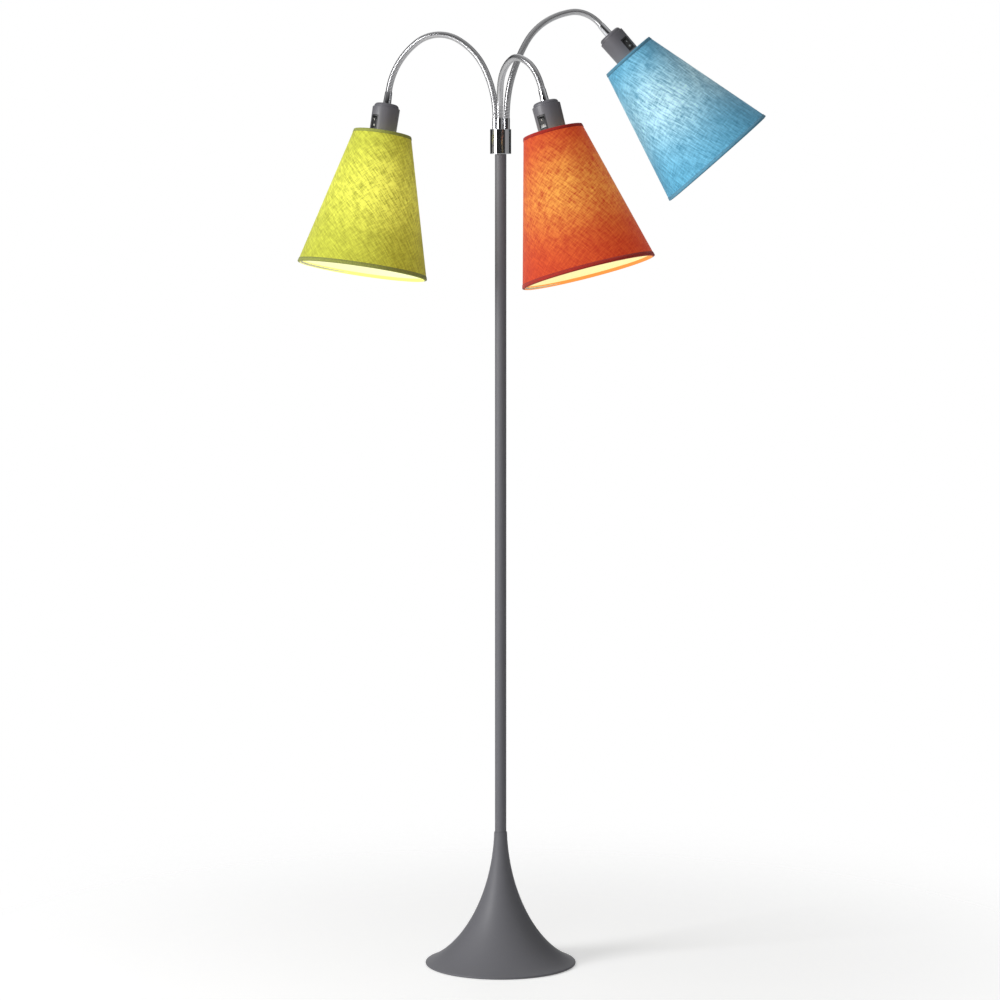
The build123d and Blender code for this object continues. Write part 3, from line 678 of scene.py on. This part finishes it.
ferrule_near, ferrule_far, ferrule_length = 5.75 * mm, 6.45 * mm, 21 * mm
ferrule_gap, ferrule_lip = 0.1 * mm, 1.0 * mm
spigot_radius, spigot_depth = 4.85 * mm, 6 * mm
neck_hole, shoulder, dome_height = 5.0 * mm, 5 * mm, 6 * mm
dome_wall, cap_step, cap_wall = 2 * mm, 0.6 * mm, 2.6 * mm
seat_down, seat_step, well_gap = 52 * mm, 0.6 * mm, 0.55 * mm
body_corner, well_depth, body_bore = 1 * mm, 8 * mm, 18.5 * mm
thread_radius, socket_bore, wire_hole = 19.6 * mm, 14.05 * mm, 4 * mm
floor_top, floor_low = 3 * mm, 6 * mm
window_width, window_depth, window_gap = 14.5 * mm, 20 * mm, 0.1 * mm
for arm, head in heads.items():
    cap_start, cap_end, _, cap_radius = head.span(f"{arm}_holder_cap")
    body_start, body_end, _, body_radius = head.span(f"{arm}_holder_body")
    window_start, window_end = head.span(f"{arm}_switch_frame")[:2]
    sleeve_end = ferrule_length - ferrule_gap
    sleeve = lathe(f"{arm}_sleeve", [
        (neck_hole, ferrule_lip), (ferrule_near, 3.1 * mm), (ferrule_far, sleeve_end),
        (0, sleeve_end), (0, spigot_depth), (spigot_radius, spigot_depth),
        (spigot_radius, ferrule_lip)], head.matrix, steps=64)
    finish_piece(soften(sleeve, 0.3 * mm), chrome, f"{arm}_head", f"{arm}_upper_ferrule")
    dome_end, dome_inside = cap_start + dome_height, cap_start + dome_wall
    cap = lathe(f"{arm}_cap", [(neck_hole, cap_start)] + round_corner(
        cap_radius - shoulder, cap_start + shoulder, shoulder, -90, 0) + [
        (cap_radius, dome_end), (cap_radius - cap_step, dome_end),
        (cap_radius - cap_step, cap_end), (cap_radius - cap_wall, cap_end),
        (cap_radius - cap_wall, dome_inside), (neck_hole, dome_inside)],
        head.matrix, steps=96)
    finish_piece(soften(cap, 0.25 * mm), grey_plastic, f"{arm}_head", f"{arm}_holder_cap")
    seat, well, well_end = cap_start + seat_down, cap_radius - well_gap, body_start + well_depth
    housing = lathe(f"{arm}_housing", [(well, body_start)] + round_corner(
        body_radius - body_corner, body_start + body_corner, body_corner, -90, 0, 5) + [
        (body_radius - seat_step, seat), (thread_radius, seat), (thread_radius, body_end),
        (socket_bore, body_end), (socket_bore, seat - floor_top), (wire_hole, seat - floor_top),
        (wire_hole, seat - floor_low), (body_bore, seat - floor_low), (body_bore, well_end),
        (well, well_end)], head.matrix, steps=128)
    block = bmesh.new()
    bmesh.ops.create_cube(block, size=1)
    window_length = window_end - window_start + window_gap
    window_place = Matrix.Translation((body_radius, 0, (window_start + window_end) / 2))
    block.transform(head.matrix @ window_place
                    @ Matrix.Diagonal((window_depth, window_width, window_length, 1)))
    cutter = new_piece("window", block)
    opening = housing.modifiers.new("Window", "BOOLEAN")
    opening.object, opening.operation, opening.solver = cutter, "DIFFERENCE", "EXACT"
    opened = shape_now(housing)
    housing.modifiers.clear()
    housing.data = opened
    bpy.data.objects.remove(cutter)
    finish_piece(soften(housing, 0.25 * mm), grey_plastic, f"{arm}_head", f"{arm}_holder_body")
    print(arm, "lampholder", round(2 * body_radius / mm, 1), "mm across,",
          round((body_end - cap_start) / mm), "mm long")

# %% [markdown]
# ## Marks on the switches
# A rocker carries the two signs that every mains switch has: a bar for on and a ring for
# off, printed in white. They are thin raised strips here, bent to the rocker's hollow face,
# and they ride on the switch's body, so that they swing with it.

# %% Switch marks
rocker_swing, dish_radius, dish_floor = radians(7), 29.8 * mm, 3.3 * mm
mark_place, print_rise = 4.3 * mm, 0.07 * mm
bar = [(-0.3, -1.3), (0.3, -1.3), (0.3, 1.3), (-0.3, 1.3)]


def strip(mesh, inner, outer, centre, face_matrix):
    """A closed flat band between two outlines of (across, along) points, laid on the dish."""
    def on_face(point, rise):
        across, along = point[0] * mm, point[1] * mm + centre
        height = dish_floor + dish_radius - sqrt(dish_radius ** 2 - along ** 2) + rise
        return mesh.verts.new(face_matrix @ Vector((along, height, across)))
    low_out, high_out = ([on_face(p, rise) for p in outer] for rise in (-print_rise, print_rise))
    low_in, high_in = ([on_face(p, rise) for p in inner] for rise in (-print_rise, print_rise))
    loop = (low_out, high_out, high_in, low_in)
    count = len(outer)
    for k in range(count):
        n = (k + 1) % count
        for a, b in zip(loop, loop[1:] + loop[:1]):
            mesh.faces.new((a[k], a[n], b[n], b[k]))


for arm, head in heads.items():
    down = head.z * cos(rocker_swing) - head.x * sin(rocker_swing)
    outward = head.x * cos(rocker_swing) + head.z * sin(rocker_swing)
    pivot = Vector(joints[f"{arm}_switch"]["pos_m"])
    face_matrix = Matrix.Translation(pivot) @ Matrix((down, outward, head.y)).transposed().to_4x4()
    mesh = bmesh.new()
    ring = [(cos(2 * pi * k / 32), sin(2 * pi * k / 32)) for k in range(32)]
    strip(mesh, [(x * 0.75, y * 0.95) for x, y in ring], [(x * 1.25, y * 1.45) for x, y in ring],
          mark_place, face_matrix)
    strip(mesh, [(x * 0.1, y * 0.4) for x, y in bar], bar, -mark_place, face_matrix)
    bmesh.ops.recalc_face_normals(mesh, faces=mesh.faces)
    marks = new_piece(f"{arm}_switch_marks", mesh)
    finish_piece(marks, white_mark, f"{arm}_switch")
print("switch marks on", len(heads), "rockers")

# %% [markdown]
# ## Cloth for the shades
# The shades are slubby linen glued to a white liner, and the lamps are on. Two things make
# lit linen look right. The threads run straight in the flat cloth, so the pattern uses a
# map of the cone rolled out flat. And the lamp behind the cloth lights it unevenly, so
# every point carries a number for the light that reaches it, and the weave lets more or
# less of that light through. Thin places glow in the hot colour, thick ones in the deep one.


# %% Linen
warp_width, weft_width, ridge_width = 3.6 * mm, 3.0 * mm, 0.9 * mm


def threads(made, where, width, stretch):
    """Uneven threads one way: long streaks, stretched to full contrast."""
    thick = made.noise(width, detail=2, where=where, stretch=stretch)
    fine = made.noise(width * 0.45, detail=1, where=where, stretch=stretch)
    return made.math("ADD", made.math("MULTIPLY", made.sharp(thick, 0.38, 0.64), 0.55),
                     made.math("MULTIPLY", made.sharp(fine, 0.36, 0.66), 0.45))


def linen(name, cloth, deep, hot, angle, lead):
    """Back-lit linen: its colour in daylight, its faint and full glow, and its threads' way."""
    made = Finish(name, cloth, roughness=0.88, Sheen_Weight=0.12, Emission_Strength=1.0)
    flat = made.node("ShaderNodeUVMap", {"uv_map": "flat"}).outputs[0]
    turned = made.node("ShaderNodeMapping", Vector=flat, Rotation=(0, 0, radians(angle))).outputs[0]
    warp = threads(made, turned, warp_width, (0.14, 1, 1))
    weft = threads(made, turned, weft_width, (1, 0.16, 1))
    woven = made.math("ADD", made.math("MULTIPLY", warp, lead),
                      made.math("MULTIPLY", weft, 1 - lead))
    patch = made.sharp(made.noise(22 * mm, detail=2, where=turned), 0.3, 0.7)
    weave = made.math("ADD", made.math("MULTIPLY", woven, 0.85), made.math("MULTIPLY", patch, 0.15))
    made.link(made.mix(weave, tint(cloth, 0.55), tint(cloth, 1.45)), "Base Color")
    light = made.math("MULTIPLY", made.glow(), made.between(weave, -0.12, 1.62))
    made.link(made.mix(light, deep, hot), "Emission Color")
    ridges = made.math("ADD", *[made.node("ShaderNodeTexWave", {"bands_direction": way},
                                          Vector=turned, Scale=0.314 / ridge_width).outputs["Fac"]
                                for way in ("X", "Y")])
    made.bump(made.math("ADD", made.math("MULTIPLY", ridges, 0.4), woven), 0.14 * mm, 0.6)
    return made.material


# %% [markdown]
# Behind the cloth is a smooth white liner, and both rims carry a folded tape in the shade's
# own colour. Both take their light from the same number, but with less contrast.


# %% Liner and tape
def liner(name, paper, strength):
    """The smooth white liner inside a shade, with the lamp on."""
    made = Finish(name, paper, roughness=0.55, Emission_Strength=strength)
    made.link(made.mix(made.glow(), tint(paper, 0.8), paper), "Emission Color")
    fibres = made.noise(3 * mm, detail=3)
    made.link(made.mix(fibres, tint(paper, 0.5), tint(paper, 0.56)), "Base Color")
    made.bump(made.noise(1.1 * mm), 0.03 * mm, 0.4)
    return made.material


def tape(name, cloth, lit):
    """The folded tape on a shade's rim: dim outside, and lit by the bulb on its inner leg."""
    made = Finish(name, cloth, roughness=0.88, Sheen_Weight=0.12, Emission_Strength=1.0)
    flat = made.node("ShaderNodeUVMap", {"uv_map": "flat"}).outputs[0]
    thread = made.sharp(made.noise(0.9 * mm, detail=2, where=flat, stretch=(1, 0.2, 1)), 0.3, 0.7)
    made.link(made.mix(thread, tint(cloth, 0.72), tint(cloth, 1.28)), "Base Color")
    made.link(made.mix(made.glow(), black, lit), "Emission Color")
    made.bump(thread, 0.1 * mm, 0.5)
    return made.material


cloths = {
    "left": (linen("Lime linen", cloth=srgb(182, 192, 62), deep=srgb(94, 78, 2),
                   hot=srgb(214, 204, 88), angle=36, lead=0.6),
             liner("Lime shade liner", srgb(253, 252, 205), 0.85),
             tape("Lime tape", srgb(154, 160, 76), srgb(250, 246, 128))),
    "front": (linen("Orange linen", cloth=srgb(166, 36, 10), deep=srgb(144, 30, 4),
                    hot=srgb(206, 172, 74), angle=44, lead=0.5),
              liner("Orange shade liner", srgb(255, 244, 186), 0.85),
              tape("Orange tape", srgb(172, 36, 24), srgb(236, 158, 70))),
    "right": (linen("Blue linen", cloth=srgb(86, 178, 220), deep=srgb(12, 46, 64),
                    hot=srgb(196, 200, 182), angle=84, lead=0.66),
              liner("Blue shade liner", srgb(235, 246, 246), 0.85),
              tape("Blue tape", srgb(96, 160, 190), srgb(190, 230, 240))),
}
print("three cloths, each with its liner and tape")

# %% [markdown]
# ## Shades
# A shade is a cone of cloth with a wall of about 1 mm, joined down the side away from the
# switch with a narrow lap. The bulb's light on it is painted: every point of the cloth keeps a
# light number that drives its glow. The number is highest a little above the middle of the
# slope, beside the bulb. It is also painted higher on the cloth's front and back than at its
# two sides: light leaves thick cloth mostly straight out, so the sides of a lit shade look
# dimmer than its middle. These painted lobes are fixed to the shade, so they suit views from
# the front and from the back best.

# %% Shade sizes and light
shade_wall = 1 * mm
shade_start, shade_end, narrowest, shade_bottom_radius = heads["left"].span("left_shade")
shade_slope = atan2(shade_bottom_radius - narrowest - shade_wall, shade_end - shade_start)
shade_height = shade_end - shade_start - shade_wall * sin(shade_slope)
shade_top_radius = shade_bottom_radius - shade_height * tan(shade_slope)
slant = hypot(shade_height, shade_bottom_radius - shade_top_radius)
lap_width, lap_rise = 9 * mm, 0.35 * mm
hem_height = 5 * mm
around = 144
rows = 36
# glow_turn turns each shade's painted bright lobes a little round its axis.
glow_turn = {"left": 0, "front": radians(20), "right": radians(15)}
brightest, glow_reach = 0.43, 0.27
rim_light, side_light = 0.12, 0.44


def light_at(share, angle):
    """The painted light on the cloth, a share of the way down it and at an angle round it."""
    down = exp(-((share - brightest) / glow_reach) ** 2)
    lobes = cos(angle) ** 4
    return (rim_light + (1 - rim_light) * down) * (side_light + (1 - side_light) * lobes)


print("shades are", round(2 * shade_bottom_radius / mm), "mm wide and",
      round(shade_height / mm), "mm high")

# %% [markdown]
# Cloth and tape are the same thing to make: a closed band round the head's axis, swept from
# a short list of points. Each point also keeps its angle and its distance from the cone's
# tip, which give its place on the map of the flat cloth.


# %% Bands round a cone
def roll_flat(mesh):
    """A UV map, in metres, of the cone rolled out flat, with its seam at the lap."""
    layer = mesh.loops.layers.uv.new("flat")
    angle_layer = mesh.verts.layers.float["angle"]
    from_tip = mesh.verts.layers.float["tip"]
    for face in mesh.faces:
        angles = [loop.vert[angle_layer] for loop in face.loops]
        wraps = max(angles) - min(angles) > pi
        for loop in face.loops:
            angle = loop.vert[angle_layer]
            if wraps and angle < 0:
                angle += 2 * pi
            rolled = angle * sin(shade_slope)
            reach = loop.vert[from_tip]
            loop[layer].uv = (reach * sin(rolled), reach * cos(rolled))


def cone(name, head, sections, materials, material_of, lit=None):
    """A closed band round a head's axis, from (height down the slope, inward) sections."""
    top = head.span(f"{head.arm}_shade")[0]
    front = head.matrix.inverted().to_3x3() @ Vector((0, -1, 0))
    facing = atan2(front.y, front.x) + glow_turn[head.arm]
    mesh = bmesh.new()
    angle_layer = mesh.verts.layers.float.new("angle")
    tip_layer = mesh.verts.layers.float.new("tip")
    glow_layer = mesh.verts.layers.float.new("glow")
    rings = []
    for down, inward in sections:
        ring = []
        for k in range(around):
            angle = 2 * pi * k / around - pi
            on_lap = inward <= 0 and (pi - abs(angle)) * shade_top_radius < lap_width / 2
            lap = lap_rise if on_lap else 0
            radius = shade_top_radius + down * sin(shade_slope) - (inward - lap) * cos(shade_slope)
            height = top + down * cos(shade_slope) + inward * sin(shade_slope)
            vert = mesh.verts.new((radius * cos(angle), radius * sin(angle), height))
            vert[angle_layer] = angle
            vert[tip_layer] = shade_top_radius / sin(shade_slope) + down
            vert[glow_layer] = lit(inward) if lit else light_at(down / slant, angle - facing)
            ring.append(vert)
        rings.append(ring)
    for index, (near, far) in enumerate(zip(rings, rings[1:] + rings[:1])):
        for k in range(around):
            face = mesh.faces.new((near[k], near[(k + 1) % around], far[(k + 1) % around], far[k]))
            face.material_index = material_of(index)
            face.smooth = True
    bmesh.ops.recalc_face_normals(mesh, faces=mesh.faces)
    roll_flat(mesh)
    mesh.transform(head.matrix)
    piece = new_piece(name, mesh)
    for material in materials:
        piece.data.materials.append(material)
    piece.visible_glossy = False
    return piece


# %% [markdown]
# The cloth is one ring sector, cut from a flat sheet and stretched over the wires. A rim
# tape is folded round its edge as a U-shaped band, dim outside and lit on its inner leg.

# %% Linen cones and their tapes
lit_from, lit_over = 2.6 * mm, 1.4 * mm


def hem_section(edge, way):
    """A folded tape's outline round the rim at edge, which lies way (+1 or -1) from the cloth."""
    outer = [(hem_height, -0.5 * mm), (0.6 * mm, -0.52 * mm), (0, -0.35 * mm),
             (-0.4 * mm, 0.2 * mm), (-0.5 * mm, 1.2 * mm), (-0.5 * mm, 2.8 * mm),
             (-0.35 * mm, 3.8 * mm), (0.1 * mm, 4.25 * mm), (0.8 * mm, 4.35 * mm),
             (4.9 * mm, 4.35 * mm)]
    inner = [(4.9 * mm, 3.92 * mm), (0.6 * mm, 3.92 * mm), (-0.05 * mm, 3.5 * mm), (-0.05 * mm, 0),
             (0.3 * mm, -0.06 * mm), (hem_height, -0.06 * mm)]
    return [(edge - way * down, inward) for down, inward in outer + inner]


for arm, head in heads.items():
    cloth, paper, band = cloths[arm]
    outside = [(slant * k / rows, 0.0) for k in range(rows + 1)]
    inside_wall = [(slant * (1 - k / rows), shade_wall) for k in range(rows + 1)]
    shade = cone(f"{arm}_linen_shade", head, outside + inside_wall, (cloth, paper),
                 lambda index: 0 if index < rows else 1)
    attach(shade, f"{arm}_head")
    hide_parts(f"{arm}_shade")
    for name, edge, way in (("top", 0.0, -1), ("bottom", slant, 1)):
        hem = cone(f"{arm}_{name}_hem", head, hem_section(edge, way), (band,), lambda index: 0,
                   lit=lambda inward: min(1.0, max(0.0, (inward - lit_from) / lit_over)))
        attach(hem, f"{arm}_head")
    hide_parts(f"{arm}_shade_hems")
    opened = pi * sin(shade_slope)

# %% [markdown]
# ## Bulbs
# The bulbs are pear-shaped opal glass, and they are lit, so the glass itself glows. They
# and the small parts round them keep the shape of their solids and only get a finish.

# %% Bulbs and the parts left as solids
opal = Finish("Opal glass, lit", srgb(255, 246, 226), roughness=0.25, Emission_Strength=1.4)
opal.shader.inputs["Emission Color"].default_value = srgb(255, 236, 200)
opal.link(opal.mix(opal.noise(20 * mm), srgb(255, 240, 214), srgb(255, 250, 236)), "Base Color")
opal.bump(opal.noise(2 * mm), 0.01 * mm, 0.3)
for arm in arms:
    for node, material in (
            ("bulb", opal.material), ("bulb_cap", aluminium), ("screw_shell", brass),
            ("shade_ring", grey_plastic), ("shade_frame", white_wire),
            ("switch_frame", black_frame), ("rocker", black_plastic)):
        paint(nodes[f"{arm}_{node}"], material)
    nodes[f"{arm}_bulb"].visible_glossy = False
for node, material in (("base_weight", iron), ("base_pad", felt), ("tie_tube", steel),
                       ("tie_nut", steel), ("pole_plug", steel), ("cord_grommet", rubber),
                       ("pole_hub", steel), ("collar_screw", steel)):
    paint(nodes[node], material)
print("solids that stay:", sum(not node.hide_render for node in nodes.values()))

# %% [markdown]
# ## Studio floor
# A wide flat pale floor keeps the lamp's soft shadow. Away from the foot it turns clear for
# the camera, so that it melts into the white behind it with no horizon. Light that bounces
# off it would fill the pole's dark side, so scattered light sees it as mostly clear too.

# %% Floor
square = bmesh.new()
bmesh.ops.create_grid(square, x_segments=1, y_segments=1, size=30)
floor = new_piece("studio_floor", square)
fade_start, fade_end = 0.25, 1.3
pale = Finish("Studio floor", srgb(238, 238, 238), roughness=0.9, Emission_Strength=0.38)
pale.shader.inputs["Emission Color"].default_value = white
away = pale.node("ShaderNodeVectorMath", {"operation": "LENGTH"}, i0=pale.place()).outputs["Value"]
ray = pale.node("ShaderNodeLightPath").outputs
far_off = pale.node("ShaderNodeMapRange", {"interpolation_type": "SMOOTHSTEP"},
                    Value=away, From_Min=fade_start, From_Max=fade_end).outputs[0]
fade = pale.math("MAXIMUM", pale.math("MULTIPLY", far_off, ray["Is Camera Ray"]),
                 pale.math("MULTIPLY", ray["Is Diffuse Ray"], 0.65))
clear = pale.node("ShaderNodeBsdfTransparent").outputs[0]
blend = pale.node("ShaderNodeMixShader", i0=fade, i1=pale.shader.outputs[0], i2=clear)
pale.tree.links.new(blend.outputs[0], pale.tree.nodes["Material Output"].inputs["Surface"])
paint(floor, pale.material)
floor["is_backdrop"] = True
print("the floor fades from", fade_start, "to", fade_end, "m away from the foot")

# %% [markdown]
# ## The room
# Chrome is only as good as the room that it mirrors. This one is a ring of upright cards:
# mostly dark, with a pale card at the left, a dim one at the right and the white backdrop
# behind. A colour ramp paints them by compass direction, and the ceiling is softly lit.
# The cards are there for the mirror images and give little scattered light, so that the
# lamps set the shading. The camera, also through glass, sees the backdrop's plain white all
# round, and the chrome mirrors that white where the backdrop stands, behind the lamp.

# %% World
world = bpy.data.worlds.new("Studio")
bpy.context.scene.world = world
world.use_nodes = True
room = Wiring(world.node_tree)
way = room.node("ShaderNodeTexCoord").outputs["Generated"]
parts = room.node("ShaderNodeSeparateXYZ", i0=way).outputs
compass = room.math("ARCTAN2", parts["X"], room.math("MULTIPLY", parts["Y"], -1.0))
walls = room.node("ShaderNodeValToRGB", Fac=room.remap(compass, From_Min=-pi, From_Max=pi))
ramp = walls.color_ramp.elements
while len(ramp) > 1:
    ramp.remove(ramp[-1])
backdrop_edge, dark = 1.0, 0.03
cards = ((-180, backdrop_edge), (-166, backdrop_edge), (-160, dark), (-108, dark),
         (-103, 0.55), (-84, 0.45), (-80, dark), (-50, 0.02), (46, dark),
         (54, 0.42), (100, 0.36), (106, 0.02), (160, dark), (166, backdrop_edge))
for number, (degree, level) in enumerate(cards):
    place = (degree + 180) / 360
    stop = ramp.new(place) if number else ramp[0]
    stop.position, stop.color = place, (level, level, level, 1)
rays = room.node("ShaderNodeLightPath").outputs
dimmed = room.mix(room.math("MULTIPLY", rays["Is Diffuse Ray"], 0.8), walls.outputs["Color"], black)
overhead = room.remap(parts["Z"], From_Min=0.35, From_Max=0.8, To_Max=0.4)
studio = room.mix(overhead, dimmed, white)
straight = room.math("MAXIMUM", rays["Is Camera Ray"], rays["Is Transmission Ray"])
room.tree.links.new(room.mix(straight, studio, white),
                    room.tree.nodes["Background"].inputs["Color"])
print("a room of", len(ramp), "colour stops")

# %% [markdown]
# ## Lights
# One large soft light high at the left models the round forms and draws the bright stripe
# down the chrome. A weak wide one near the camera opens the shadows, and is kept out of the
# mirror images.


# %% Lights
def softbox(name, place, target, size, power, mirrored=True):
    """A square area light at place that faces target, and whether metal mirrors it."""
    lamp = bpy.data.lights.new(name, "AREA")
    lamp.shape, lamp.size, lamp.energy = "SQUARE", size, power
    light = bpy.data.objects.new(name, lamp)
    light.location = place
    light.rotation_euler = (Vector(target) - Vector(place)).to_track_quat("-Z", "Y").to_euler()
    light.visible_glossy = mirrored
    bpy.context.scene.collection.objects.link(light)
    print(name, "is", size, "m square at", power, "W")


aim = (0, 0, 0.9)
softbox("key", (-3.6, -2.0, 1.9), aim, 1.6, 132)
softbox("front_fill", (-0.6, -4.6, 1.8), aim, 2.4, 42, mirrored=False)

# %% [markdown]
# ## Camera
# A long lens 5.5 m away, a little above the middle of the lamp and tipped down slightly, as
# a catalogue photographer would set it, so that the pole stays straight.

# %% Camera
camera = bpy.data.objects.new("camera", bpy.data.cameras.new("camera"))
camera_tip = 5.255
camera.data.lens, camera.data.sensor_width = 126.4, 36
camera.location = (-0.001, -5.499, 1.2462)
camera.rotation_euler = (radians(90 - camera_tip), 0, 0)
bpy.context.scene.collection.objects.link(camera)
bpy.context.scene.camera = camera
bpy.context.scene.view_settings.view_transform = "Standard"
print("camera tipped down by", camera_tip, "degrees")

# %% [markdown]
# ## Last look at the sizes
# The box that the dressed lamp fills is worked out and printed, axis by axis, in mm.

# %% Sizes and the end
dressed_box = [list(corner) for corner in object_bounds()]
for low, high, axis in zip(dressed_box[0], dressed_box[1], "XYZ"):
    print(axis, round(low / mm, 1), "to", round(high / mm, 1), "mm")
